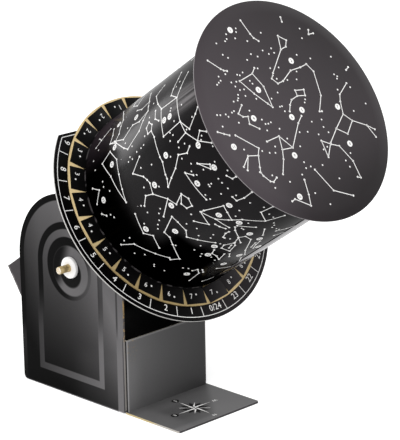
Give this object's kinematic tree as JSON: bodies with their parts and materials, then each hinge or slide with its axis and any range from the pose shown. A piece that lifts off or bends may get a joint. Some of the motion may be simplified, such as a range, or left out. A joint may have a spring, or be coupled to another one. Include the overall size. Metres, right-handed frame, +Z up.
{
  "type": "planetarium projector",
  "caption": "Table planetarium of printed card: a star-map drum turns on a tilting head with hour dial, lamp and battery, held between two arched side plates.",
  "frame": {"origin": "underside of the base plate, straight below the tilt axle", "axes": "+Z up, -Y to the front where the drum points, +X to the right seen from the front"},
  "size_m": [0.2018, 0.3345, 0.333],
  "materials": {
    "black_card": "satin",
    "star_film": "gloss",
    "disc_card": "satin",
    "tan_board": "matte",
    "grey_board": "matte",
    "white_card": "matte",
    "beech": "matte",
    "socket_plastic": "matte",
    "brass": "polished",
    "clear_glass": "gloss",
    "filament": "satin",
    "battery_jacket": "gloss",
    "switch_plastic": "satin",
    "slider_plastic": "satin",
    "red_lead": "satin",
    "black_lead": "satin"
  },
  "bodies": {
    "stand": {"base_plate": "black_card", "side_plate_left": "black_card", "side_plate_right": "black_card", "front_wall": "black_card", "rear_wall": "black_card", "floor_strip_left": "grey_board", "floor_strip_right": "grey_board", "bearing_ring_left": "grey_board", "bearing_ring_right": "grey_board"},
    "head": {"head_sleeve": "black_card", "tilt_axle": "beech", "axle_ring_left": "white_card", "axle_ring_right": "white_card", "axle_spacer_left": "grey_board", "axle_spacer_right": "grey_board", "rear_panel": "black_card", "battery_divider": "grey_board", "tube_bulkhead": "grey_board", "front_bulkhead": "grey_board", "hour_plate": "black_card", "hub_ring": "grey_board", "hub_retainer": "grey_board", "lamp_tube": "black_card", "socket_body": "socket_plastic", "socket_shell": "brass", "bulb_cap": "brass", "bulb_glass": "clear_glass", "bulb_filament": "filament", "battery": "battery_jacket", "battery_tongues": "brass", "switch_body": "switch_plastic", "wire_to_switch": "red_lead", "wire_to_lamp": "red_lead", "wire_return": "black_lead"},
    "drum": {"date_disc": "tan_board", "glue_tabs": "black_card", "star_cylinder": "star_film", "front_disc": "disc_card", "front_collar": "black_card", "seam_strip": "black_card"},
    "lid": {"battery_lid": "black_card"},
    "slider": {"switch_slider": "slider_plastic"}
  },
  "joints": [
    {"name": "latitude_tilt", "type": "hinge", "parent": "stand", "child": "head", "pos_m": [0, 0, 0.109], "axis": [-1, 0, 0], "range_deg": [-34.4, 55.6]},
    {"name": "drum_spin", "type": "hinge", "parent": "head", "child": "drum", "pos_m": [0, -0.06219, 0.16685], "axis": [0, -0.8251, 0.565], "continuous": true},
    {"name": "battery_lid_fold", "type": "hinge", "parent": "head", "child": "lid", "pos_m": [0, 0.06041, 0.10872], "axis": [-1, 0, 0], "range_deg": [-100, 0]},
    {"name": "switch_slide", "type": "slide", "parent": "head", "child": "slider", "axis": [1, 0, 0], "range_m": [0, 0.0044]}
  ]
}
